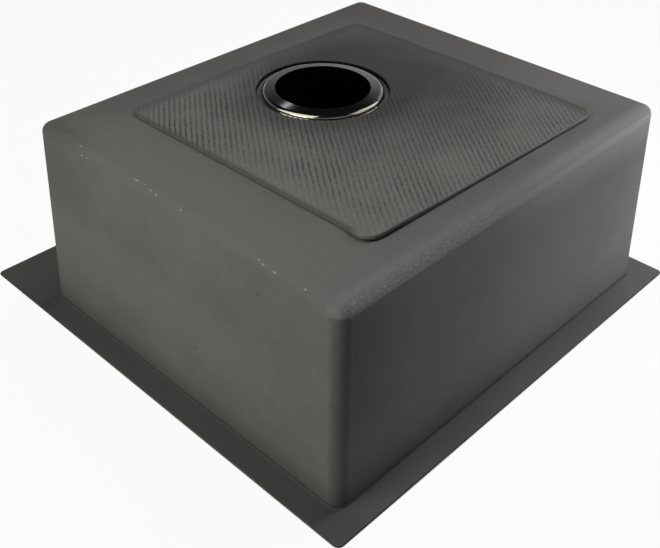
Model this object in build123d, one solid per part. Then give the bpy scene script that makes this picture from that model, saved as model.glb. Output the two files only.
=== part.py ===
"""Square single-bowl kitchen sink, lying upside down on its rim.

The rim face lies on z = 0 and the bowl rises from it to the outlet. X runs from the wide ledge (-X)
to the front border (+X), Y runs along the front. All sizes are in millimetres.
"""

import os
from math import cos, hypot, radians, sin, tan

from build123d import *

# Rim plate, by what is left of it round the bowl
ledge_width = 75.0  # at the back, where the tap stands
front_border = 25.0
side_border = 25.0
rim_thickness = 1.0
rim_corner_radius = 6.0
tap_hole_radius = 17.5  # hole for a single-hole tap, in the middle of the ledge

# Bowl, measured over the outside of the steel
bowl_width = 400.0  # along X, at the rim face
bowl_length = 450.0  # along Y, at the rim face
bowl_height = 197.5  # from the rim face to the outer edge of the floor
wall_draft = 2.9  # degrees that each wall leans in towards the floor
corner_radius = 11.0  # upright corners between walls
floor_radius = 8.5  # bend between the walls and the floor
sheet = 1.0  # thickness of the pressed steel
plate_gap = 0.1  # between the bowl and the opening in the plate, before welding

# Floor, which falls to the outlet
floor_band = 2.0  # flat band between the wall bend and the start of the fall
floor_fall = 7.5  # height gained from the band to the land round the outlet seat
fall_corner_radius = 3.0
outlet_setback = 39.5  # outlet axis, from the middle of the bowl towards the ledge

# Outlet seat, pressed out of the floor round the hole
outlet_radius = 45.0  # hole for the waste
seat_radius = 57.2  # outside of the seat's upright wall
seat_height = 6.6  # from the land to the edge of the hole
seat_cone = 8.5  # degrees that the seat's face rises towards the hole
seat_shoulder_radius = 3.8
seat_foot_radius = 1.2
seat_land = 4.0  # flat ring between the seat's foot and the fall
seat_root = 2.0  # depth below the land to which the seat's solid is drawn, to join the floor

# Weld between the bowl and the plate
weld_leg = 1.6
weld_toe = 0.2  # thickness of the bead's thin upper edge

# Damping pad, which is cut a little out of square, and its adhesive film
pad_width = 295.0  # along X
pad_length = 299.0  # along Y
pad_thickness = 4.0
pad_corner_radius = 14.0
pad_shift_x = 10.0  # middle of the pad, from the middle of the bowl
pad_shift_y = 1.5
pad_end_turn = 0.7  # degrees by which the edges along X are askew
pad_side_turn = -1.2  # degrees by which the edges along Y are askew
pad_cutout_radius = 62.5
film_thickness = 0.2
film_inset = 1.5  # from the pad's edge to the film's edge
film_lift = 45.0  # length along each side over which the film has let go of one corner

# Sprayed coating
coat_thickness = 0.6
coat_edge_gap = 1.2  # bare steel left along the plate's edge
coat_pad_gap = 0.3  # between the coating and the pad
coat_mask_radius = 60.0  # bare circle round the outlet seat
coat_tap_gap = 2.0  # bare ring round the tap hole

rim_width = ledge_width + bowl_width + front_border  # along X
rim_length = bowl_length + 2 * side_border  # along Y
bowl_x = (ledge_width - front_border) / 2
tap_x = (ledge_width - rim_width) / 2
outlet_x = bowl_x - outlet_setback
floor_width = bowl_width - 2 * bowl_height * tan(radians(wall_draft))
floor_length = bowl_length - 2 * bowl_height * tan(radians(wall_draft))
land_height = bowl_height + floor_fall
land_radius = seat_radius + seat_foot_radius + seat_land


def outline(grow, height):
    """Face of the bowl's outline at a height, grown outwards by grow."""
    lean = height * tan(radians(wall_draft))
    width = bowl_width + 2 * (grow - lean)
    length = bowl_length + 2 * (grow - lean)
    return Pos(bowl_x, 0, height) * RectangleRounded(width, length, corner_radius + grow)


def bowl_body(grow):
    """Solid inside the bowl's walls and flat floor edge, grown outwards by grow."""
    mouth = Pos(bowl_x, 0, 0) * Rectangle(bowl_width + 2 * grow, bowl_length + 2 * grow)
    body = extrude(mouth, amount=bowl_height + grow, taper=wall_draft)
    body = fillet(body.edges().filter_by(Plane.XY, reverse=True), corner_radius + grow)
    bend = body.edges().filter_by(Plane.XY).group_by(Axis.Z)[-1]
    return fillet(bend, floor_radius + grow)


def fall_corners():
    """Start and end points, in plan, of the rounded corners of the outline where the fall starts."""
    inset = floor_radius + floor_band
    half_x = floor_width / 2 - inset
    half_y = floor_length / 2 - inset
    r = fall_corner_radius
    return [
        ((bowl_x + half_x, half_y - r), (bowl_x + half_x - r, half_y)),
        ((bowl_x - half_x + r, half_y), (bowl_x - half_x, half_y - r)),
        ((bowl_x - half_x, r - half_y), (bowl_x - half_x + r, -half_y)),
        ((bowl_x + half_x - r, -half_y), (bowl_x + half_x, r - half_y)),
    ]


def fall_outline(height):
    """Rounded rectangle where the floor starts to fall, as a face."""
    corners = fall_corners()
    edges = []
    for i, (start, end) in enumerate(corners):
        following = corners[(i + 1) % len(corners)][0]
        quarter = RadiusArc((*start, height), (*end, height), -fall_corner_radius)
        edges += [quarter, Line((*end, height), (*following, height))]
    return make_face(edges)


def land_outline(height):
    """Circle of the land, split in line with the corners of the fall's outline, as a face."""

    def towards(point):
        share = land_radius / hypot(point[0] - outlet_x, point[1])
        return (outlet_x + share * (point[0] - outlet_x), share * point[1], height)

    corners = fall_corners()
    edges = []
    for i, (start, end) in enumerate(corners):
        following = corners[(i + 1) % len(corners)][0]
        edges.append(RadiusArc(towards(start), towards(end), -land_radius))
        edges.append(RadiusArc(towards(end), towards(following), -land_radius))
    return make_face(edges)


def fall_body(lift):
    """Solid under the falling floor, with its upper face raised by lift."""
    start = bowl_height + lift
    slopes = loft([fall_outline(start), land_outline(start + floor_fall)], ruled=True)
    return slopes + extrude(fall_outline(start), amount=-(floor_radius + lift))


def seat_body(grow):
    """Solid inside the outlet seat, grown outwards by grow."""
    cone = radians(seat_cone)
    centre_r = seat_radius - seat_shoulder_radius
    rise = (centre_r + seat_shoulder_radius * sin(cone) - outlet_radius) * tan(cone)
    centre_z = seat_height - seat_shoulder_radius * cos(cone) - rise
    shoulder = seat_shoulder_radius + grow
    wall_r = seat_radius + grow
    foot_r = seat_radius + seat_foot_radius
    face_r = centre_r + shoulder * sin(cone)
    face_z = centre_z + shoulder * cos(cone)
    peak_z = face_z + face_r * tan(cone)
    half = (radians(90) + cone) / 2
    profile = [
        Line((0, -seat_root), (foot_r, -seat_root)),
        Line((foot_r, -seat_root), (foot_r, grow)),
        RadiusArc((foot_r, grow), (wall_r, seat_foot_radius), seat_foot_radius - grow),
        Line((wall_r, seat_foot_radius), (wall_r, centre_z)),
        ThreePointArc(
            (wall_r, centre_z),
            (centre_r + shoulder * cos(half), centre_z + shoulder * sin(half)),
            (face_r, face_z),
        ),
        Line((face_r, face_z), (0, peak_z)),
        Line((0, peak_z), (0, -seat_root)),
    ]
    section = Plane.XZ * make_face(profile)
    return Pos(outlet_x, 0, land_height) * revolve(section, Axis.Z)


def upright_cylinder(radius):
    """Cylinder on the outlet's axis, through the whole floor."""
    height = 2 * (floor_fall + seat_height + floor_radius)
    return Pos(outlet_x, 0, land_height) * Cylinder(radius, height)


def make_basin():
    outside = bowl_body(0) + fall_body(0) + seat_body(0)
    inside = bowl_body(-sheet) + fall_body(-sheet) + seat_body(-sheet)
    return outside - inside - upright_cylinder(outlet_radius)


def plate_outline(inset):
    return RectangleRounded(rim_width - 2 * inset, rim_length - 2 * inset, rim_corner_radius - inset)


def tap_cutter(radius):
    """Cylinder through the ledge on the tap's axis."""
    return Pos(tap_x, 0, 0) * Cylinder(radius, 4 * (rim_thickness + coat_thickness))


def make_rim_plate():
    opening = extrude(outline(plate_gap / 2, 0), amount=rim_thickness)
    return extrude(plate_outline(0), amount=rim_thickness) - opening - tap_cutter(tap_hole_radius)


def bead(grow):
    """Solid inside the sloping face of the weld bead, grown outwards by grow."""
    foot = outline(weld_leg + grow, 0).moved(Location((0, 0, rim_thickness)))
    toe = outline(weld_toe + grow, rim_thickness + weld_leg + grow)
    return loft([foot, toe], ruled=True)


def make_rim_weld():
    return bead(0) - bowl_body(0)


def pad_point(along_x, along_y):
    """Place in plan of a point given along the pad's own edges, from its middle."""
    x = along_x - along_y * tan(radians(pad_side_turn))
    y = along_y + along_x * tan(radians(pad_end_turn))
    return (bowl_x + pad_shift_x + x, pad_shift_y + y)


def raise_block(points):
    """Upright block over an outline in plan, from the height of the floor's edge."""
    plan = make_face(Polyline(*points, close=True))
    return Pos(0, 0, bowl_height) * extrude(plan, amount=2 * (floor_fall + pad_thickness))


def pad_block(inset):
    """Upright block over the pad's outline, open round the outlet."""
    half_x = pad_width / 2 - inset
    half_y = pad_length / 2 - inset
    corners = [(half_x, half_y), (-half_x, half_y), (-half_x, -half_y), (half_x, -half_y)]
    block = raise_block([pad_point(*corner) for corner in corners])
    block = fillet(block.edges().filter_by(Axis.Z), pad_corner_radius - inset)
    return block - upright_cylinder(pad_cutout_radius + inset)


def lifted_corner():
    """Block over the front corner of the pad, where the film has let go."""
    corner_x = pad_width / 2
    corner_y = -pad_length / 2
    return raise_block(
        [
            pad_point(corner_x, corner_y),
            pad_point(corner_x, corner_y + film_lift),
            pad_point(corner_x - film_lift, corner_y),
        ]
    )


def make_pad_adhesive():
    return (fall_body(film_thickness) - fall_body(0)) & pad_block(film_inset) - lifted_corner()


def make_damping_pad():
    under = fall_body(film_thickness)
    return (fall_body(film_thickness + pad_thickness) - under) & pad_block(0)


def make_sound_coat():
    walls = bowl_body(coat_thickness) + fall_body(coat_thickness)
    coated_plate = extrude(plate_outline(coat_edge_gap), amount=rim_thickness + coat_thickness)
    sprayed = walls + coated_plate + bead(coat_thickness)
    steel = bowl_body(0) + fall_body(0)
    under_plate = extrude(plate_outline(0), amount=rim_thickness)
    bare = upright_cylinder(coat_mask_radius) + tap_cutter(tap_hole_radius + coat_tap_gap)
    pad_pocket = pad_block(-coat_pad_gap)
    return sprayed - steel - under_plate - bead(0) - bare - pad_pocket


makers = {
    "basin": make_basin,
    "rim_plate": make_rim_plate,
    "rim_weld": make_rim_weld,
    "damping_pad": make_damping_pad,
    "pad_adhesive": make_pad_adhesive,
    "sound_coat": make_sound_coat,
}

os.makedirs("parts", exist_ok=True)
for name, make in makers.items():
    export_step(make(), f"parts/{name}.step")
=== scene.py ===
"""Looks for a square single-bowl kitchen sink that lies upside down on its rim.

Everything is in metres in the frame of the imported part: the rim's face lies on z = 0 and the bowl
rises from it to the outlet. The front wall is at +X, the back with the wide ledge at -X, the side
wall at -Y and the far wall at +Y. The front corner is between the front wall and the side wall.
"""

import math

import bpy
import numpy as np
from mathutils import Matrix, Vector
from mathutils.bvhtree import BVHTree
from mathutils.geometry import delaunay_2d_cdt


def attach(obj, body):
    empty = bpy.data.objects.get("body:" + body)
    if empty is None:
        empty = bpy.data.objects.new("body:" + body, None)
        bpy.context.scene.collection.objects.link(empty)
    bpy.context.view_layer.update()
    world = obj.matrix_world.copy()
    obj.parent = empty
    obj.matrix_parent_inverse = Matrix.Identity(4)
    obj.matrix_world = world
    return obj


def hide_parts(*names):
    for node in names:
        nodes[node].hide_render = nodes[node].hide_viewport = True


MM = 0.001

# Camera, fitted to the photograph's straight edges
CAMERA_AZIMUTH = 43.915
CAMERA_ELEVATION = 37.150
CAMERA_ROLL = 0.571
CAMERA_TARGET = (0.67 * MM, -2.96 * MM, 0.0)
CAMERA_DISTANCE = 998.32 * MM
FOCAL_PIXELS = 938.88
IMAGE_WIDTH = 660
HALF_PIXEL = 0.5 / IMAGE_WIDTH
SENSOR_WIDTH = 36.0

# Tints of the lamps, and the point that they face
WHITE = (1.0, 1.0, 1.0)
WARM = (1.0, 0.99, 0.95)
COOL = (1.0, 0.985, 1.0)
LAMP_AIM = (0.0, 0.0, 0.1)

# Screens that metal sees: start, end and soft edge in degrees of azimuth, then bottom, top and soft
# edge as sines of the height, and the light
SCREENS = (
    (-40, 24, 8, 0.0, 0.99, 0.06, (1.3, 1.28, 0.95, 1.0)),
    (112, 148, 8, 0.0, 0.85, 0.10, (0.62, 0.58, 0.53, 1.0)),
    (150, 164, 4, 0.0, 0.85, 0.06, (1.25, 1.25, 1.20, 1.0)),
    (233, 239, 3, 0.60, 0.64, 0.02, (0.85, 0.82, 0.94, 1.0)),
)

# Studio floor
FLOOR_HALF = 6.0
FLOOR_HEIGHT = -0.1 * MM
FLOOR_GREY = 0.5
# Painted shade: dark floor under the sink, which keeps the bowl's inside dark
FLOOR_SHADE_UNDER_SINK = 0.03
FLOOR_WHITENESS = 0.94  # share of plain white in what the camera sees, the rest being lit and shaded

# Bowl and outlet, as in the solids
BOWL_X = 25.0 * MM
OUTLET = (-14.5 * MM, 0.0)
WALL_LEAN = math.tan(math.radians(2.9))
RIM_HALF = 250.0 * MM

# Damping pad, cut a little out of square
PAD_SIZE = (295.0 * MM, 299.0 * MM)
PAD_CENTRE = (35.0 * MM, 1.5 * MM)
PAD_END_LEAN = math.tan(math.radians(0.7))
PAD_SIDE_LEAN = math.tan(math.radians(-1.2))
PAD_CORNER = 14.0 * MM
PAD_CUTOUT = 62.5 * MM
PAD_THICKNESS = 4.0 * MM

# Its rounded upper edges: how far inside the edge, and height
EDGE_PROFILE = ((0.0, -0.6 * MM), (0.15 * MM, -0.30 * MM), (0.35 * MM, -0.10 * MM), (0.8 * MM, 0.0))

# Its sprayed edges, which close the gap to the coating: how far out and over which strip they move
PAD_SWELL = 0.3 * MM
SWELL_WIDTH = 1.2 * MM
SWELL_Y = (20.0 * MM, 115.0 * MM)  # where the front edge passes into its stuck part
FRONT_FACING = (0.553, 0.547)  # share of X in the direction outwards, past the front edge's

# Its spray-filled slope down to the side wall's coating, which ends short of the front corner
SIDE_EDGE_FALL = 2.2 * MM
SIDE_EDGE_WIDTH = 5.0 * MM
SIDE_EDGE_END = (134.0 * MM, 120.0 * MM)

# Its front edge, which stands off: place along Y and height, and how far in from the edge it lifts
FRONT_LIFT = (
    (-149.0 * MM, 0.0),
    (-143.0 * MM, 1.0 * MM),
    (-134.0 * MM, 2.0 * MM),
    (-110.0 * MM, 1.9 * MM),
    (-80.0 * MM, 1.0 * MM),
    (-50.0 * MM, 0.4 * MM),
    (0.0, 0.12 * MM),
    (100.0 * MM, 0.04 * MM),
    (115.0 * MM, 0.0),
)
FRONT_LIFT_REACH = 40.0 * MM

# Its embossed diamonds: their two sides, points along a side, and the grooves between them
DIMPLE_A = (4.064 * MM, 2.831 * MM)
DIMPLE_B = (3.908 * MM, -3.000 * MM)
DIMPLE_SIDE = 4.0 * MM  # less than either side, to work out how many steps reach over the pad
DIMPLE_STEPS = 5
DEEP_GROOVE = 0.45 * MM  # between rows, along the diamonds' second side
SHALLOW_GROOVE = 0.10 * MM
DIMPLE_MARGIN = 1.2 * MM  # strip along the edges without points of the embossing
DIMPLE_START = (0.6 * MM, 2.5 * MM)  # how far inside the edges it fades in
DIMPLE_AREA = 155.0 * MM  # each way from the pad's centre

# Where spray fills the embossing, behind the outlet and inside the back edge
FILLED_SHARE = 0.85
FILLED_X = (120.0 * MM, 20.0 * MM)
FILLED_Y = (0.0, 80.0 * MM)
FILLED_BACK = (42.0 * MM, 8.0 * MM)
FILLED_BACK_Y = (-120.0 * MM, 20.0 * MM)

# Grid over the pad's top, in whole millimetres, and grid of its underside, in steps
FIELD_STEP = 3
FIELD_X = (-150, 205)
FIELD_Y = (-170, 172)
FIELD_BLURS = 14
ABOVE_PAD = 0.3
UNDERSIDE_STEP = 8 * MM
UNDERSIDE_X = (-16, 25)
UNDERSIDE_Y = (-20, 21)

# Chips in the coating of the side wall's bend: place along X, degrees round the bend, length
BEND_CENTRE = (-206.9 * MM, 189.0 * MM)
BEND_RADIUS = 9.1 * MM
CHIP_WIDTH = 0.8 * MM
CHIPS = (
    (-102.1 * MM, 26, 1.6 * MM),
    (-94.9 * MM, 69, 1.8 * MM),
    (-88.2 * MM, 67, 1.5 * MM),
    (-21.9 * MM, 26, 3.2 * MM),
    (-10.4 * MM, 24, 1.1 * MM),
    (-1.0 * MM, 33, 1.3 * MM),
    (6.5 * MM, 39, 1.5 * MM),
    (38.1 * MM, 37, 1.6 * MM),
    (130.2 * MM, 45, 1.3 * MM),
    (135.6 * MM, 53, 2.2 * MM),
    (148.1 * MM, 55, 2.0 * MM),
    (179.1 * MM, 47, 1.4 * MM),
)

# Direction across the crest of the front wall's bend, where a highlight is painted, as shares of X and Z
CREST_X = 0.985
CREST_Z = 0.174

# Middle of the painted shade on the pad
PAD_SHADE_MIDDLE = (-10.0 * MM, 70.0 * MM)


def smoothstep(low, high, value):
    t = np.clip((value - low) / (high - low), 0.0, 1.0)
    return t * t * (3.0 - 2.0 * t)


# Node helpers


class Nodes:
    """Short names for building the nodes of one material or world."""

    def __init__(self, owner, output="ShaderNodeOutputMaterial"):
        self.owner = owner
        owner.use_nodes = True
        self.tree = owner.node_tree
        self.tree.nodes.clear()
        self.output = self.tree.nodes.new(output)

    def add(self, kind, inputs=None, **settings):
        node = self.tree.nodes.new(kind)
        for key, value in settings.items():
            setattr(node, key, value)
        for key, value in (inputs or {}).items():
            self.put(node.inputs[key], value)
        return node

    def put(self, socket, value):
        if isinstance(value, bpy.types.NodeSocket):
            self.tree.links.new(value, socket)
        elif isinstance(value, bpy.types.Node):
            self.tree.links.new(value.outputs[0], socket)
        else:
            socket.default_value = value

    def xyz(self, vector):
        return self.add("ShaderNodeSeparateXYZ", {0: vector}).outputs

    def math(self, operation, a, b=0.0):
        return self.add("ShaderNodeMath", {0: a, 1: b}, operation=operation).outputs[0]

    def times(self, *factors):
        product = factors[0]
        for factor in factors[1:]:
            product = self.math("MULTIPLY", product, factor)
        return product

    def plus(self, *terms):
        total = terms[0]
        for term in terms[1:]:
            total = self.math("ADD", total, term)
        return total

    def minus(self, a, b):
        return self.math("SUBTRACT", a, b)

    def left(self, share):
        """What a share leaves of 1."""
        return self.minus(1.0, share)

    def most(self, a, b):
        return self.math("MAXIMUM", a, b)

    def size(self, value):
        return self.math("ABSOLUTE", value)

    def vector(self, operation, a, b=(0.0, 0.0, 0.0)):
        output = "Value" if operation in ("LENGTH", "DOT_PRODUCT") else "Vector"
        return self.add("ShaderNodeVectorMath", {0: a, 1: b}, operation=operation).outputs[output]

    def ramp(self, value, low, high, to_low=0.0, to_high=1.0, smooth=True):
        """Passes from to_low to to_high while the value goes from low to high."""
        kind = "SMOOTHSTEP" if smooth else "LINEAR"
        inputs = {"Value": value, "From Min": low, "From Max": high, "To Min": to_low, "To Max": to_high}
        return self.add("ShaderNodeMapRange", inputs, interpolation_type=kind).outputs[0]

    def mix(self, factor, a, b):
        node = self.add("ShaderNodeMix", data_type="RGBA")
        self.put(node.inputs["Factor"], factor)
        self.put(node.inputs["A"], a)
        self.put(node.inputs["B"], b)
        return node.outputs["Result"]


class Surface(Nodes):
    """Nodes of one material, with the place on the object and the colour that is laid on so far."""

    def __init__(self, name, colour):
        super().__init__(bpy.data.materials.new(name))
        self.place = self.add("ShaderNodeTexCoord").outputs["Object"]
        self.x, self.y, self.z = self.xyz(self.place)
        self.colour = colour

    def lay(self, colour, *shares):
        """Lays a colour over the one so far, by the product of the shares."""
        self.colour = self.mix(self.times(*shares), self.colour, colour)

    def zone(self, distance, start, end, before=0.0, after=1.0):
        """Ramp between two places in millimetres, along an axis or any other distance."""
        return self.ramp(distance, start * MM, end * MM, before, after)

    def distance(self, centre_x, centre_y):
        """Distance in plan from a point."""
        dx, dy = self.minus(self.x, centre_x), self.minus(self.y, centre_y)
        return self.math("SQRT", self.plus(self.times(dx, dx), self.times(dy, dy)))

    def noise(self, scale, detail=3.0, roughness=0.5, distortion=0.0, vector=None):
        vector = self.place if vector is None else vector
        inputs = {"Vector": vector, "Scale": scale, "Detail": detail, "Roughness": roughness}
        inputs["Distortion"] = distortion
        return self.add("ShaderNodeTexNoise", inputs).outputs["Fac"]

    def wobble(self, width, scale, detail, roughness):
        """Noise round zero, of the width given."""
        return self.times(self.minus(self.noise(scale, detail, roughness), 0.5), width)

    def streaks(self, density, detail, roughness=0.5):
        """Noise with its own density along each axis."""
        stretched = self.add("ShaderNodeMapping", {"Vector": self.place, "Scale": density})
        return self.noise(1.0, detail, roughness, vector=stretched)

    def bump(self, height, distance, strength=1.0):
        inputs = {"Height": height, "Distance": distance, "Strength": strength}
        return self.add("ShaderNodeBump", inputs).outputs[0]

    def finish(self, **sockets):
        """Ends the material in a shader with the colour and the values of its other sockets."""
        shader = self.add("ShaderNodeBsdfPrincipled", {"Base Color": self.colour})
        for key, value in sockets.items():
            self.put(shader.inputs[key.replace("_", " ")], value)
        self.put(self.output.inputs["Surface"], shader)
        return self.owner


def tint(level, warmth=0.0, rose=0.0):
    """Grey of a linear level, a little yellow where warmth is above 0 and a little red where rose is."""
    return (level * (1 + 0.3 * warmth + rose), level, level * (1 - warmth + 0.3 * rose), 1.0)


# Sprayed coating


def spray_clouds(coat, patches):
    """Clouds, patches and mottle in the grey, and pale smudges, most of them on the side wall."""
    clouds = coat.noise(9.0, 4.0, 0.55, 0.4)
    mottle = coat.noise(21.0, 4.0, 0.62)
    coat.lay(tint(0.126, 0.045), coat.ramp(clouds, 0.3, 0.7))
    coat.lay(tint(0.136, 0.04), coat.ramp(patches, 0.35, 0.75), 0.35)
    coat.lay(tint(0.150, 0.045), coat.ramp(mottle, 0.50, 0.66, 0.0, 0.35))
    coat.lay(tint(0.100, 0.045), coat.ramp(mottle, 0.50, 0.34, 0.0, 0.30))

    smudges = coat.ramp(coat.noise(62.0, 4.0, 0.7), 0.60, 0.72)
    where = coat.times(coat.ramp(clouds, 0.46, 0.58), coat.zone(coat.y, -170, -200, 0.12, 0.40))
    coat.lay(tint(0.185, 0.03), smudges, where)


def light_and_shade_floor(coat):
    """Painted light and shade on the borders of the bowl's floor: painted light along the side wall and the
    front, painted shade at the far and back borders.
    """
    on_floor = coat.zone(coat.z, 188, 197)
    side = coat.zone(coat.y, -130, -190)
    coat.lay(tint(0.138, 0.05), on_floor, side)
    far = coat.times(coat.zone(coat.y, 130, 180), coat.zone(coat.x, 160, 0))
    coat.lay(tint(0.092, 0.03, 0.05), on_floor, far, 0.8)
    far_corner = coat.times(coat.zone(coat.y, 155, 175), coat.zone(coat.x, 60, 160))
    front = coat.most(far_corner, coat.zone(coat.x, 186, 200))
    coat.lay(tint(0.132, -0.02, 0.04), on_floor, front, 0.6)
    back = coat.zone(coat.x, -90, -150)
    coat.lay(tint(0.090, 0.03), on_floor, back, 0.4)


def light_and_shade_walls(coat):
    """Painted light and shade on the walls: a pale painted band on the side wall, painted light high on the
    front wall, and painted shade at the side wall's back end.
    """
    lit_band = coat.times(coat.zone(coat.z, 35, 75), coat.zone(coat.z, 130, 100), coat.zone(coat.x, 160, 90))
    coat.lay(tint(0.141, 0.045), lit_band, coat.zone(coat.y, -205, -212), 0.7)
    shaded_back_end = coat.times(coat.zone(coat.x, -70, -150), coat.zone(coat.z, 100, 150))
    coat.lay(tint(0.092, 0.045), shaded_back_end, coat.zone(coat.y, -190, -205), 0.65)
    # Painted light high on the middle of the front wall
    middle = coat.times(coat.zone(coat.y, -80, 0), coat.zone(coat.y, 140, 70))
    front = coat.times(coat.zone(coat.x, 205, 211.5), coat.zone(coat.z, 195, 170, 0.0, 0.7))
    coat.lay(tint(0.141, 0.03, 0.02), middle, front)


def plate_tone_and_shadow(coat, on_plate):
    """Darker coat on the plate, darker still at the far end of the front border, and painted shadow of the
    bowl on the back ledge.
    """
    coat.lay(tint(0.090, 0.02), on_plate, 0.8)
    front_end = coat.times(coat.zone(coat.x, 200, 215), coat.zone(coat.y, 0, 150))
    coat.lay(tint(0.066, 0.02, 0.03), on_plate, front_end, 0.55)
    # Painted shadow of the bowl on the back ledge
    back = coat.zone(coat.x, -130, -210)
    coat.lay(tint(0.062, 0.02), on_plate, back, 0.6)


def shade_recesses(coat, on_plate, beside):
    """Painted shade in the upright corners, at the foot of the side wall and in the seam over the weld."""
    along = coat.plus(coat.size(coat.y), coat.times(coat.z, WALL_LEAN))
    corner = coat.times(coat.zone(beside, 187, 195), coat.zone(along, 212, 220))
    coat.lay(tint(0.078, 0.03), corner, coat.zone(coat.z, 198, 190), 0.75)
    foot = coat.times(coat.zone(coat.z, 30, 6), coat.zone(coat.y, -212, -218))
    coat.lay(tint(0.080, 0.04), foot, coat.left(on_plate), 0.6)
    seam = coat.times(coat.zone(coat.z, 1.7, 2.1), coat.zone(coat.z, 6.0, 3.4))
    coat.lay(tint(0.050, 0.03), seam, 0.85)


def spray_lap_and_highlight(coat, lumps):
    """Rough lap of a second pass over the bend of the front wall, pale partly from a painted sheen, and a
    painted highlight along the bend's crest.

    Returns how coarse the surface is there.
    """
    diagonal = coat.times(coat.plus(coat.x, coat.z), math.sqrt(0.5))
    diagonal = coat.plus(diagonal, coat.wobble(10.0 * MM, 140.0, 4.0, 0.7))
    sharp = coat.times(coat.zone(diagonal, 279.5, 283.5), coat.zone(coat.y, -30, -130, 0.25, 1.0))
    soft = coat.zone(diagonal, 262, 286, 0.0, 0.8)
    below = coat.times(coat.zone(coat.z, 188.5, 185.5), coat.zone(coat.y, 50, -50), 0.9)
    lap = coat.times(coat.most(sharp, soft), coat.zone(coat.x, 197, 210), coat.left(below))
    on_top = coat.zone(coat.y, -20, 80, 0.30, 0.85)
    # Pale grey of the lap: partly overspray, partly painted sheen on the bend
    grey = coat.mix(coat.zone(coat.y, -50, 30), tint(0.200, -0.01, 0.04), tint(0.216, -0.01, 0.04))
    coat.lay(grey, lap, coat.zone(coat.z, 198.5, 190, on_top, 0.95))

    across = coat.plus(coat.times(coat.x, CREST_X), coat.times(coat.z, CREST_Z))
    rough = coat.times(coat.zone(coat.y, 20, -80, 0.05, 1.0), coat.zone(across, 243.0, 245.3, 0.22, 1.1))
    coarse = coat.times(lap, rough)
    # Pale specks on the lumps, partly painted highlight
    coat.lay(tint(0.36, -0.05), coarse, coat.ramp(lumps, 0.50, 0.66), 0.75)

    # Painted highlight along the bend's crest, strongest at the near end
    crest = coat.most(coat.zone(coat.y, -100, 50, 0.45, 0.68), coat.zone(coat.y, -120, -170, 0.0, 0.8))
    highlight_strength = coat.ramp(lumps, 0.35, 0.62, coat.zone(coat.y, -50, 100, 0.35, 0.8), 1.15)
    coat.lay(tint(0.27, 0.0, 0.04), coat.zone(across, 245.1, 245.7), crest, highlight_strength)
    return coarse


def shade_front_corner(coat, beside):
    """Painted shade on the front wall next to the front corner."""
    in_front = coat.math("GREATER_THAN", coat.x, 150.0 * MM)
    on_wall = coat.times(in_front, coat.zone(beside, 195, 200), coat.zone(coat.y, -120, -212))
    height = coat.times(coat.zone(coat.z, 192, 180), coat.zone(coat.z, 45, 100, 0.35, 1.0))
    coat.lay(tint(0.068, 0.02, 0.02), on_wall, height, 0.78)


def chip_off(coat):
    """Chips rubbed off the bend of the side wall."""
    flaky = coat.wobble(1.6, 700.0, 2.0, 0.6)
    chips = 0.0
    for chip_x, turn, length in CHIPS:
        turn = math.radians(turn)
        chip_y = BEND_CENTRE[0] - BEND_RADIUS * math.sin(turn)
        chip_z = BEND_CENTRE[1] + BEND_RADIUS * math.cos(turn)
        offset = coat.vector("SUBTRACT", coat.place, (chip_x, chip_y, chip_z))
        shape = coat.vector("MULTIPLY", offset, (1.0 / length, 1.0 / CHIP_WIDTH, 1.0 / CHIP_WIDTH))
        reach = coat.plus(coat.vector("LENGTH", shape), flaky)
        chips = coat.most(chips, coat.ramp(reach, 1.1, 0.6))
    coat.lay(tint(0.34, 0.06), chips, 0.74)


def pinholes(coat):
    """Lays pinholes in a few cells of a pattern, and returns where they are."""
    cells = coat.add("ShaderNodeTexVoronoi", {"Vector": coat.place, "Scale": 38.0})
    rare = coat.math("GREATER_THAN", coat.xyz(cells.outputs["Color"])[0], 0.86)
    holes = coat.times(rare, coat.ramp(cells.outputs["Distance"], 0.05, 0.025))
    coat.lay(tint(0.03), holes, 0.7)
    return holes


def make_coat():
    """Sprayed coating: matt grey with grit and clouds, thinner on the plate, rough along one bend."""
    coat = Surface("sprayed_coat", tint(0.114, 0.045))
    patches = coat.noise(42.0, 3.0, 0.6)
    lumps = coat.noise(520.0, 3.0, 0.7)
    on_plate = coat.zone(coat.z, 4.5, 2.8)
    beside = coat.plus(coat.size(coat.minus(coat.x, BOWL_X)), coat.times(coat.z, WALL_LEAN))
    spray_clouds(coat, patches)
    light_and_shade_floor(coat)
    light_and_shade_walls(coat)
    plate_tone_and_shadow(coat, on_plate)
    shade_recesses(coat, on_plate, beside)
    coarse = spray_lap_and_highlight(coat, lumps)
    shade_front_corner(coat, beside)
    chip_off(coat)
    holes = pinholes(coat)

    grain = coat.noise(620.0, 2.0, 0.7)
    grit = coat.noise(900.0, 2.0, 0.6)
    peel = coat.noise(260.0, 2.0, 0.5)
    coat.lay(tint(0.19, 0.03), coat.ramp(grain, 0.56, 0.72), coat.left(on_plate), 0.32)
    coat.lay(tint(0.060, 0.04), coat.ramp(grain, 0.44, 0.28), coat.left(on_plate), 0.32)
    coat.lay(tint(0.20, 0.02), coat.ramp(grit, 0.60, 0.80, 0.0, 0.36))
    height = coat.plus(coat.times(grit, 0.5), peel, coat.times(lumps, coarse, 4.0))
    normal = coat.bump(coat.minus(height, coat.times(holes, 3.0)), 0.12 * MM, 0.6)
    roughness = coat.ramp(patches, 0.2, 0.8, 0.50, 0.62, smooth=False)
    return coat.finish(Roughness=roughness, Normal=normal, Specular_IOR_Level=0.06)


# Pad's rubber


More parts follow.
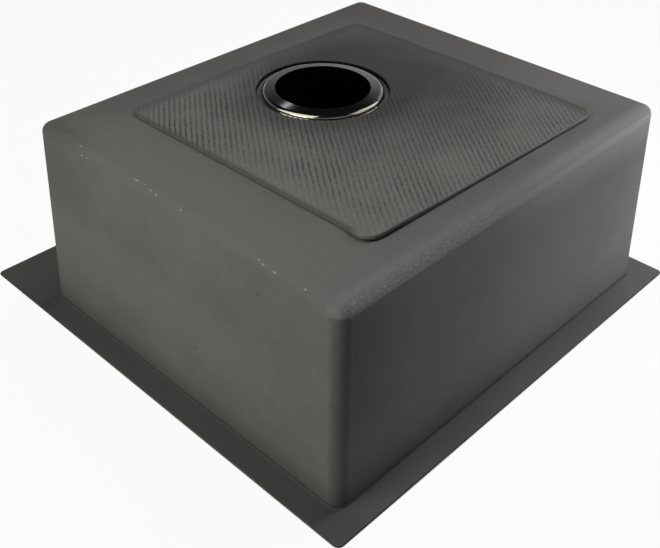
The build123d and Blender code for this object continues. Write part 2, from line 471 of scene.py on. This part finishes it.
def pad_edges(rubber):
    """Distances inside the pad's front, back, far and side edges."""
    half_x, half_y = PAD_SIZE[0] / 2, PAD_SIZE[1] / 2
    from_x, from_y = rubber.minus(rubber.x, PAD_CENTRE[0]), rubber.minus(rubber.y, PAD_CENTRE[1])
    along_x = rubber.plus(from_x, rubber.times(from_y, PAD_SIDE_LEAN))
    along_y = rubber.minus(from_y, rubber.times(from_x, PAD_END_LEAN))
    front, back = rubber.minus(half_x, along_x), rubber.plus(half_x, along_x)
    far, side = rubber.minus(half_y, along_y), rubber.plus(half_y, along_y)
    return front, back, far, side


def bare_and_shaded_grooves(rubber):
    """Share of darkening in the embossing's grooves, partly bare rubber that the spray doesn't reach down
    into and partly painted shade.
    """
    local = rubber.vector("SUBTRACT", rubber.place, (*PAD_CENTRE, 0.0))
    first, second = (rubber.vector("DOT_PRODUCT", local, axis) for axis in dimple_axes())
    uneven = rubber.wobble(0.50, 95.0, 3.0, 0.6)

    def groove(steps, power):
        part = rubber.math("FRACT", rubber.plus(steps, uneven))
        return rubber.math("POWER", rubber.size(rubber.minus(rubber.times(part, 2.0), 1.0)), power)

    deep, shallow = groove(first, 1.7), groove(second, 8.0)
    dots = rubber.ramp(rubber.math("COSINE", rubber.times(second, 2 * math.pi)), -1.0, 1.0, 0.7, 1.0)
    broken = rubber.ramp(rubber.noise(240.0, 2.0, 0.6), 0.34, 0.62, 0.25, 1.3)
    dashes = rubber.times(rubber.math("POWER", deep, 1.8), dots, broken)
    return rubber.plus(rubber.times(deep, 0.30), rubber.times(dashes, 0.75), rubber.times(shallow, 0.06))


def make_pad():
    """Dark rubber sprayed with the coating, with painted shade round and behind the outlet, along some edges
    and in the grooves.
    """
    rubber = Surface("pad_rubber", tint(0.060, 0.05))
    x, y = rubber.x, rubber.y
    front, back, far, side = pad_edges(rubber)
    cutout = rubber.minus(rubber.distance(*OUTLET), PAD_CUTOUT)
    grit = rubber.noise(700.0, 2.0, 0.6)

    # Cover of spray, with painted shade round the outlet and behind it
    wide = rubber.ramp(rubber.distance(*PAD_SHADE_MIDDLE), 52.0 * MM, 186.0 * MM, smooth=False)
    near_outlet_shade = rubber.times(rubber.zone(cutout, -0.5, 42.5, -0.34, 0.0), rubber.zone(x, -85, -40, 0.3, 1.0))
    clouds = rubber.ramp(rubber.noise(14.0, 4.0, 0.55, 0.3), 0.3, 0.7, -0.10, 0.10)
    cover_and_shade = rubber.plus(wide, near_outlet_shade, clouds)
    rubber.lay(tint(0.163, 0.045), cover_and_shade)
    rubber.lay(tint(0.19, 0.02), rubber.ramp(grit, 0.60, 0.80, 0.0, 0.25))
    # Painted shade along the back and far edges
    margin = rubber.most(rubber.zone(back, 20, 3), rubber.zone(far, 20, 3))
    dull = rubber.mix(rubber.zone(y, 20, 120), tint(0.092, 0.03, 0.03), tint(0.076, 0.03, 0.03))
    rubber.lay(dull, margin, 0.85)

    # Spray laid on thick fills the grooves too: along the side, behind the outlet and at the back
    groove_darkness = rubber.ramp(rubber.noise(24.0, 3.0, 0.6), 0.3, 0.62, 0.45, 1.0)
    groove_darkness = rubber.times(groove_darkness, rubber.zone(rubber.plus(x, rubber.times(y, 0.5)), -40, 130, 1.08, 0.85))
    filled = (
        (rubber.zone(side, 39.5, 5.5), rubber.zone(x, -30, 40), 0.75),
        (rubber.zone(y, 0, 80), rubber.zone(x, 110, 10), 0.85),
        (rubber.zone(back, 42, 8), rubber.zone(y, -120, 20, 0.3, 0.9)),
        (margin, 0.8),
    )
    for shares in filled:
        groove_darkness = rubber.times(groove_darkness, rubber.left(rubber.times(*shares)))
    # Darker grooves: partly bare rubber, partly painted shade
    rubber.lay(tint(0.022, 0.05), bare_and_shaded_grooves(rubber), groove_darkness)
    fine = rubber.ramp(rubber.noise(420.0, 3.0, 0.7), 0.35, 0.65, 0.0, 0.30)
    rubber.lay(rubber.mix(cover_and_shade, tint(0.045, 0.05), tint(0.100, 0.04)), fine)

    # Painted shade along the edge at the side wall, a painted highlight along the front edge, and painted
    # shade on the cut-out's wall
    rubber.lay(tint(0.080, 0.05), rubber.zone(side, 5.0, 1.5), rubber.zone(front, 12.5, 22.5), 0.9)
    rubber.lay(tint(0.185, 0.02), rubber.zone(front, 0.7, 0.1))
    rubber.lay(tint(0.010), rubber.zone(cutout, 0.9, 0.2))
    return rubber.finish(Roughness=0.6, Normal=rubber.bump(grit, 0.08 * MM, 0.5), Specular_IOR_Level=0.06)


# Steel, weld and film


def make_basin_steel():
    """Pressed stainless steel, satin inside the bowl and polished round the outlet seat."""
    steel = Surface("basin_steel", tint(0.56, 0.03))
    radius = steel.distance(*OUTLET)
    polished = steel.times(steel.zone(radius, 61.5, 59.5), steel.zone(steel.z, 203.5, 205.0))
    satin = steel.left(polished)
    strokes = steel.streaks((900.0, 14.0, 900.0), 3.0, 0.6)
    turned = steel.add("ShaderNodeCombineXYZ", {0: radius, 2: steel.z})
    rings = steel.noise(1400.0, 2.0, 0.6, vector=turned)
    smudge = steel.noise(25.0, 3.0, 0.5)
    steel.lay(tint(0.62, 0.03), steel.ramp(smudge, 0.3, 0.7))
    dull = steel.ramp(strokes, 0.3, 0.7, 0.26, 0.40, smooth=False)
    bright = steel.ramp(smudge, 0.3, 0.7, 0.07, 0.11, smooth=False)
    roughness = steel.plus(steel.times(dull, satin), steel.times(bright, polished))
    height = steel.plus(steel.times(strokes, satin), steel.times(rings, polished, 0.25))
    return steel.finish(Metallic=1.0, Roughness=roughness, Normal=steel.bump(height, 0.02 * MM, 0.35))


def make_plate_steel():
    """Stainless sheet brushed along Y."""
    steel = Surface("plate_steel_finish", tint(0.54, 0.02))
    strokes = steel.streaks((900.0, 12.0, 900.0), 3.0, 0.6)
    smudge = steel.noise(25.0, 3.0, 0.5)
    steel.lay(tint(0.60, 0.02), steel.ramp(smudge, 0.3, 0.7))
    roughness = steel.ramp(strokes, 0.3, 0.7, 0.26, 0.38, smooth=False)
    return steel.finish(Metallic=1.0, Roughness=roughness, Normal=steel.bump(strokes, 0.02 * MM, 0.3))


def make_weld():
    """Dull steel, uneven in small spots."""
    weld = Surface("weld_steel", tint(0.35, 0.05))
    beads = weld.noise(400.0, 2.0, 0.5)
    weld.lay(tint(0.5, 0.02), beads)
    return weld.finish(Metallic=1.0, Roughness=0.45, Normal=weld.bump(beads, 0.1 * MM))


def make_film():
    """Pale adhesive with uneven streaks."""
    film = Surface("adhesive_film", tint(0.5, 0.08))
    film.lay(tint(0.62, 0.1), film.streaks((300.0, 40.0, 40.0), 2.0))
    return film.finish(Roughness=0.5)


# Damping pad


def pad_point(along_x, along_y):
    """Place in plan of a point given along the pad's own edges, from its middle."""
    return (
        PAD_CENTRE[0] + along_x - along_y * PAD_SIDE_LEAN,
        PAD_CENTRE[1] + along_y + along_x * PAD_END_LEAN,
    )


def along_pad(x, y):
    """Places along the pad's own edges, from its middle, of points in plan."""
    from_x, from_y = x - PAD_CENTRE[0], y - PAD_CENTRE[1]
    return from_x + from_y * PAD_SIDE_LEAN, from_y - from_x * PAD_END_LEAN


def corner_centres():
    """Centres of the pad's rounded corners, anticlockwise from the one in front at the far wall."""
    half_x, half_y = PAD_SIZE[0] / 2, PAD_SIZE[1] / 2
    corners = ((half_x, half_y), (-half_x, half_y), (-half_x, -half_y), (half_x, -half_y))
    tips = [np.array(pad_point(*corner)) for corner in corners]
    centres = []
    for i, tip in enumerate(tips):
        before, after = ((tips[(i + step) % 4] - tip) for step in (-1, 1))
        before, after = before / np.hypot(*before), after / np.hypot(*after)
        across = before + after
        centres.append(tip + across * PAD_CORNER / abs(before[0] * after[1] - before[1] * after[0]))
    return centres


def pad_outline(inset, count=14):
    """Points of the pad's rounded outline, inset."""
    centres = corner_centres()
    radius = PAD_CORNER - inset
    points = []
    for i, centre in enumerate(centres):
        arrive, leave = (centre - centres[i - 1]), (centres[(i + 1) % 4] - centre)
        start, end = (math.atan2(-run[0], run[1]) for run in (arrive, leave))
        end += 2 * math.pi * (end < start)
        for k in range(count + 1):
            angle = start + (end - start) * k / count
            points.append((centre[0] + radius * math.cos(angle), centre[1] + radius * math.sin(angle)))
    return densify(points, 1.0 * MM)


def densify(points, step):
    """Adds points along the long runs of a closed outline."""
    out = []
    for i, (x0, y0) in enumerate(points):
        x1, y1 = points[(i + 1) % len(points)]
        parts = max(1, round(math.hypot(x1 - x0, y1 - y0) / step))
        out += [(x0 + (x1 - x0) * k / parts, y0 + (y1 - y0) * k / parts) for k in range(parts)]
    return out


def cutout_outline(inset, count=400):
    """Points of the pad's round cut-out, inset into the pad."""
    radius = PAD_CUTOUT + inset
    angles = [2 * math.pi * i / count for i in range(count)]
    return [(OUTLET[0] + radius * math.cos(a), OUTLET[1] + radius * math.sin(a)) for a in angles]


def outer_distance(x, y):
    """Distance inside the pad's outline, negative outside, and direction outwards, for arrays of points."""
    point = np.stack([x, y], 1)
    nearest = np.full(len(point), np.inf)
    away = np.zeros_like(point)
    within = np.ones(len(point), bool)
    centres = corner_centres()
    for i, start in enumerate(centres):
        run = centres[(i + 1) % 4] - start
        share = np.clip((point - start) @ run / (run @ run), 0.0, 1.0)
        gap = point - (start + share[:, None] * run)
        length = np.hypot(gap[:, 0], gap[:, 1])
        closer = length < nearest
        nearest = np.where(closer, length, nearest)
        away[closer] = gap[closer]
        within &= (run[0] * gap[:, 1] - run[1] * gap[:, 0]) > 0
    sign = np.where(within, -1.0, 1.0)
    outwards = away * (sign / np.maximum(nearest, 1e-9))[:, None]
    return PAD_CORNER - sign * nearest, outwards


def edge_distance(x, y):
    """Distance inside the pad from its nearest edge, the cut-out's included, negative outside."""
    return np.minimum(outer_distance(x, y)[0], np.hypot(x - OUTLET[0], y - OUTLET[1]) - PAD_CUTOUT)


def fill_gaps(grid):
    """Spreads the known heights of a grid over its empty cells, one cell further each time."""
    rows, columns = grid.shape
    while np.isnan(grid).any():
        padded = np.pad(grid, 1, constant_values=np.nan)
        around = np.stack([padded[j : j + rows, i : i + columns] for j in range(3) for i in range(3)])
        count = (~np.isnan(around)).sum(0)
        mean = np.nansum(around, 0) / np.maximum(count, 1)
        grid = np.where(np.isnan(grid) & (count > 0), mean, grid)
    return grid


def floor_field(solid):
    """Smoothed height of the pad solid's top over a grid, as a function of position."""
    tree = BVHTree.FromObject(solid, bpy.context.evaluated_depsgraph_get())
    step = FIELD_STEP * MM
    xs, ys = (np.arange(*ends, FIELD_STEP) * MM for ends in (FIELD_X, FIELD_Y))
    grid = np.full((len(ys), len(xs)), np.nan)
    for j, y in enumerate(ys):
        for i, x in enumerate(xs):
            hit = tree.ray_cast(Vector((x, y, ABOVE_PAD)), Vector((0, 0, -1)))
            if hit[0] is not None:
                grid[j, i] = hit[0].z
    grid = fill_gaps(grid)
    for _ in range(FIELD_BLURS):
        padded = np.pad(grid, 1, mode="edge")
        grid = (padded[:-2, 1:-1] + padded[2:, 1:-1] + padded[1:-1, :-2] + padded[1:-1, 2:] + 4 * grid) / 8

    def height(x, y):
        fx = np.clip((x - xs[0]) / step, 0, len(xs) - 1.001)
        fy = np.clip((y - ys[0]) / step, 0, len(ys) - 1.001)
        i, j = fx.astype(int), fy.astype(int)
        tx, ty = fx - i, fy - j
        low = grid[j, i] * (1 - tx) + grid[j, i + 1] * tx
        high = grid[j + 1, i] * (1 - tx) + grid[j + 1, i + 1] * tx
        return low * (1 - ty) + high * ty

    return height


def front_edge_lift(x, y):
    """How far the pad stands off along its front edge, most of all next to the front corner."""
    from_front = PAD_SIZE[0] / 2 - along_pad(x, y)[0]
    across = smoothstep(FRONT_LIFT_REACH, 0.0, np.maximum(outer_distance(x, y)[0], from_front))
    places, heights = zip(*FRONT_LIFT)
    return np.interp(y, places, heights) * across


def side_edge_fall(x, y):
    """How far the spray-filled edge along the side wall slopes down to the coating."""
    along_x, along_y = along_pad(x, y)
    across = smoothstep(SIDE_EDGE_WIDTH, 0.0, along_y + PAD_SIZE[1] / 2)
    return SIDE_EDGE_FALL * across * smoothstep(*SIDE_EDGE_END, along_x)


def swell(x, y):
    """Moves the points of the pad's edge out, except along the part of the front edge that stands off."""
    depth, outwards = outer_distance(x, y)
    stuck = np.maximum(smoothstep(*SWELL_Y, y), smoothstep(*FRONT_FACING, outwards[:, 0]))
    move = outwards * (PAD_SWELL * stuck * smoothstep(SWELL_WIDTH, 0.0, depth))[:, None]
    return x + move[:, 0], y + move[:, 1]


def dimple_axes():
    """Vectors that count steps along each side of the diamonds."""
    det = DIMPLE_A[0] * DIMPLE_B[1] - DIMPLE_A[1] * DIMPLE_B[0]
    return (DIMPLE_B[1] / det, -DIMPLE_B[0] / det, 0.0), (-DIMPLE_A[1] / det, DIMPLE_A[0] / det, 0.0)


def dimples(x, y):
    """Height of the embossed diamonds below their tops, less deep where spray fills them."""
    from_x, from_y = x - PAD_CENTRE[0], y - PAD_CENTRE[1]
    first, second = (from_x * axis[0] + from_y * axis[1] for axis in dimple_axes())
    deep = np.abs(2 * (first - np.floor(first)) - 1) ** 2
    shallow = np.abs(2 * (second - np.floor(second)) - 1) ** 3
    behind = smoothstep(*FILLED_Y, y) * smoothstep(*FILLED_X, x)
    at_back = smoothstep(*FILLED_BACK, from_x + PAD_SIZE[0] / 2) * smoothstep(*FILLED_BACK_Y, y)
    open_share = (1 - FILLED_SHARE * behind) * (1 - FILLED_SHARE * at_back)
    return open_share * (-DEEP_GROOVE * deep - SHALLOW_GROOVE * shallow * (1 - deep))


def cut_sheet(insets, x, y, margin):
    """Triangulates the pad's plan from loops along its edges and the points further inside it."""
    points, edges = [], []
    for inset in insets:
        for loop in (pad_outline(inset), cutout_outline(inset)):
            start = len(points)
            points += loop
            edges += [(start + i, start + (i + 1) % len(loop)) for i in range(len(loop))]
    inside = edge_distance(x, y) > margin
    points += zip(x[inside].tolist(), y[inside].tolist())
    result = delaunay_2d_cdt([Vector(p) for p in points], edges, [], 0, 1e-7)
    plan = np.array([(p[0], p[1]) for p in result[0]])
    faces = np.array(result[2])
    middle = plan[faces].mean(1)
    return plan, faces[edge_distance(middle[:, 0], middle[:, 1]) > 0.0]


def embossing_points():
    """Points along the sides of the diamonds, over the whole pad."""
    reach = int(0.5 * (PAD_SIZE[0] + PAD_SIZE[1]) / DIMPLE_SIDE * DIMPLE_STEPS)
    i, j = np.meshgrid(np.arange(-reach, reach + 1), np.arange(-reach, reach + 1))
    s, t = i.ravel() / DIMPLE_STEPS, j.ravel() / DIMPLE_STEPS
    x = PAD_CENTRE[0] + s * DIMPLE_A[0] + t * DIMPLE_B[0]
    y = PAD_CENTRE[1] + s * DIMPLE_A[1] + t * DIMPLE_B[1]
    near = (np.abs(x - PAD_CENTRE[0]) < DIMPLE_AREA) & (np.abs(y - PAD_CENTRE[1]) < DIMPLE_AREA)
    return x[near], y[near]


def underside_points():
    """Coarse grid for the pad's smooth underside."""
    columns, rows = np.meshgrid(np.arange(*UNDERSIDE_X), np.arange(*UNDERSIDE_Y))
    return columns.ravel() * UNDERSIDE_STEP, rows.ravel() * UNDERSIDE_STEP


def same_place(point):
    """Key shared by points of the upper and the lower face that lie above each other, to 0.1 micrometres."""
    return round(point[0] * 1e7), round(point[1] * 1e7)


def build_pad(solid):
    """Embossed pad that follows the floor, with rounded edges and one edge standing off."""
    insets, drops = zip(*EDGE_PROFILE)
    plan, faces = cut_sheet(insets, *embossing_points(), DIMPLE_MARGIN)
    low_plan, low_faces = cut_sheet([0.0], *underside_points(), UNDERSIDE_STEP / 2)

    floor_height = floor_field(solid)
    x, y = plan[:, 0], plan[:, 1]
    inside = edge_distance(x, y)
    top = floor_height(x, y) + front_edge_lift(x, y) - side_edge_fall(x, y)
    top += np.interp(inside, insets, drops) + dimples(x, y) * smoothstep(*DIMPLE_START, inside)
    upper = np.stack([*swell(x, y), top], 1)
    x, y = low_plan[:, 0], low_plan[:, 1]
    bottom = floor_height(x, y) + front_edge_lift(x, y) - PAD_THICKNESS
    lower = np.stack([*swell(x, y), bottom], 1)

    # Both faces, and a wall wherever an upper triangle has no neighbour
    count = len(upper)
    polys = [tuple(f) for f in faces.tolist()]
    polys += [(f[2] + count, f[1] + count, f[0] + count) for f in low_faces.tolist()]
    below = {same_place(point): i + count for i, point in enumerate(low_plan.tolist())}
    directed = {(f[k], f[(k + 1) % 3]) for f in faces.tolist() for k in range(3)}
    for a, b in directed:
        if (b, a) not in directed:
            polys.append((b, a, below[same_place(plan[a])], below[same_place(plan[b])]))
    mesh = bpy.data.meshes.new("dimpled_pad")
    mesh.from_pydata(np.concatenate([upper, lower]).tolist(), [], polys)
    mesh.validate()
    mesh.update()
    mesh.shade_smooth()
    piece = bpy.data.objects.new("dimpled_pad", mesh)
    bpy.context.scene.collection.objects.link(piece)
    return piece


# Stage


def outwards_from(azimuth, elevation):
    """Direction in degrees as a vector. Azimuth 0 points to the -Y side, 90 to the +X side."""
    azimuth, elevation = math.radians(azimuth), math.radians(elevation)
    level = math.cos(elevation)
    return Vector((math.sin(azimuth) * level, -math.cos(azimuth) * level, math.sin(elevation)))


def make_camera():
    """Camera that frames the sink as the photograph does."""
    back = outwards_from(CAMERA_AZIMUTH, CAMERA_ELEVATION)
    right = outwards_from(CAMERA_AZIMUTH + 90, 0.0)
    up = back.cross(right)
    roll = math.radians(CAMERA_ROLL)
    tilted_right = right * math.cos(roll) + up * math.sin(roll)
    tilted_up = up * math.cos(roll) - right * math.sin(roll)
    data = bpy.data.cameras.new("camera")
    data.sensor_width = SENSOR_WIDTH
    data.lens = FOCAL_PIXELS * SENSOR_WIDTH / IMAGE_WIDTH
    data.shift_x, data.shift_y = -HALF_PIXEL, HALF_PIXEL
    data.clip_start, data.clip_end = 0.05, 50.0
    camera = bpy.data.objects.new("camera", data)
    bpy.context.scene.collection.objects.link(camera)
    turn = Matrix((tilted_right, tilted_up, back)).transposed().to_4x4()
    camera.matrix_world = Matrix.Translation(Vector(CAMERA_TARGET) + back * CAMERA_DISTANCE) @ turn
    bpy.context.scene.camera = camera


def make_lamp(name, azimuth, elevation, distance, size, power, colour=WHITE, mirrored=False):
    """Soft lamp that faces the sink. Metal shows it only where mirrored is true."""
    out = outwards_from(azimuth, elevation)
    data = bpy.data.lights.new(name, "AREA")
    data.shape = "RECTANGLE"
    data.size, data.size_y = size
    data.energy = power
    data.color = colour
    lamp = bpy.data.objects.new(name, data)
    bpy.context.scene.collection.objects.link(lamp)
    lamp.location = Vector(LAMP_AIM) + out * distance
    lamp.rotation_mode = "QUATERNION"
    lamp.rotation_quaternion = out.to_track_quat("Z", "Y")
    lamp.visible_camera = False
    lamp.visible_glossy = mirrored


def make_world():
    """White backdrop for the camera. Metal sees a pale horizon, soft screens and a dim ceiling."""
    world = bpy.data.worlds.new("studio")
    bpy.context.scene.world = world
    n = Nodes(world, "ShaderNodeOutputWorld")
    x, y, z = n.xyz(n.add("ShaderNodeTexCoord").outputs["Generated"])
    azimuth = n.math("ARCTAN2", x, n.times(y, -1.0))

    def screen(start, end, soft_side, bottom, top, soft_end):
        """Share of a screen between two azimuths in degrees and two heights as sines."""
        start, end, soft = (math.radians(angle) for angle in (start, end, soft_side))
        turned = n.plus(n.minus(azimuth, start - soft), 4 * math.pi)
        turned = n.math("MODULO", turned, 2 * math.pi)
        wide = n.times(n.ramp(turned, 0.0, soft), n.ramp(turned, end - start + 2 * soft, end - start + soft))
        return n.times(wide, n.ramp(z, bottom, bottom + soft_end), n.ramp(z, top, top - soft_end))

    mirrored = n.times(n.ramp(z, 0.0, 0.12, 1.0, 0.27), n.ramp(z, 0.14, 0.64, 1.0, 0.03))
    mirrored = n.times(mirrored, n.ramp(x, -0.5, -0.8, 1.0, 0.62))
    for *shape, light in SCREENS:
        mirrored = n.mix(screen(*shape), mirrored, light)
    path = n.add("ShaderNodeLightPath").outputs
    fill = n.add("ShaderNodeBackground", {"Strength": 0.01})
    metal = n.add("ShaderNodeBackground", {"Color": mirrored})
    seen = n.add("ShaderNodeBackground", {"Color": tint(1.0)})
    lit = n.add("ShaderNodeMixShader", {0: path["Is Glossy Ray"], 1: fill, 2: metal})
    shown = n.most(path["Is Camera Ray"], path["Is Transmission Ray"])
    n.put(n.output.inputs["Surface"], n.add("ShaderNodeMixShader", {0: shown, 1: lit, 2: seen}))


def make_floor():
    """Pale floor that the camera and metal see as white round the sink, with its faint shadow, and painted
    shade under the sink.
    """
    mesh = bpy.data.meshes.new("floor")
    corners = ((-1, -1), (1, -1), (1, 1), (-1, 1))
    mesh.from_pydata([(x * FLOOR_HALF, y * FLOOR_HALF, FLOOR_HEIGHT) for x, y in corners], [], [(0, 1, 2, 3)])
    floor = bpy.data.objects.new("floor", mesh)
    bpy.context.scene.collection.objects.link(floor)
    n = Nodes(bpy.data.materials.new("studio_floor"))
    x, y, _ = n.xyz(n.add("ShaderNodeTexCoord").outputs["Object"])
    outside = n.math("GREATER_THAN", n.most(n.size(x), n.size(y)), RIM_HALF - MM)
    grey = n.mix(outside, tint(FLOOR_SHADE_UNDER_SINK), tint(FLOOR_GREY))
    lit = n.add("ShaderNodeBsdfDiffuse", {"Color": grey})
    seen = n.add("ShaderNodeEmission", {"Color": tint(1.0), "Strength": 1.0})
    path = n.add("ShaderNodeLightPath").outputs
    shown = n.most(n.most(path["Is Camera Ray"], path["Is Glossy Ray"]), path["Is Transmission Ray"])
    whiteness = n.times(shown, outside, FLOOR_WHITENESS)
    n.put(n.output.inputs["Surface"], n.add("ShaderNodeMixShader", {0: whiteness, 1: lit, 2: seen}))
    mesh.materials.append(n.owner)


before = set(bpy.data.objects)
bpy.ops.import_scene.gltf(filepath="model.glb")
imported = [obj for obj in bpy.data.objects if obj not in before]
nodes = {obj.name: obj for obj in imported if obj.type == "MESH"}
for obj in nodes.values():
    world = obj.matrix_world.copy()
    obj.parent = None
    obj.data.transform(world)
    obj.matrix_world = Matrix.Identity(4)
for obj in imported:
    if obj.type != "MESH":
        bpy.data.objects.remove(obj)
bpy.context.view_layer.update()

finishes = {
    "basin": make_basin_steel(),
    "rim_plate": make_plate_steel(),
    "rim_weld": make_weld(),
    "pad_adhesive": make_film(),
    "sound_coat": make_coat(),
}
for node_name, finish in finishes.items():
    nodes[node_name].data.materials.clear()
    nodes[node_name].data.materials.append(finish)

pad = build_pad(nodes["damping_pad"])
pad.data.materials.append(make_pad())
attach(pad, "root")
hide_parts("damping_pad")

make_camera()
make_world()
make_floor()
make_lamp("side_panel", 0.0, 8.0, 2.2, (1.2, 1.2), 15.5, WARM, mirrored=True)
make_lamp("side_lamp", 0.0, 40.0, 0.95, (0.45, 0.45), 3.3, WARM)
make_lamp("far_panel", 180.0, 62.0, 2.2, (0.9, 0.9), 18.5)
make_lamp("far_lamp", 155.0, 40.0, 0.95, (0.45, 0.45), 3.1, COOL)
make_lamp("low_lamp", 130.0, 2.0, 0.6, (0.30, 0.18), 0.75, COOL)
make_lamp("near_lamp", 150.0, 10.0, 0.6, (0.30, 0.18), 0.90, COOL)

scene = bpy.context.scene
scene.view_settings.view_transform = "Standard"
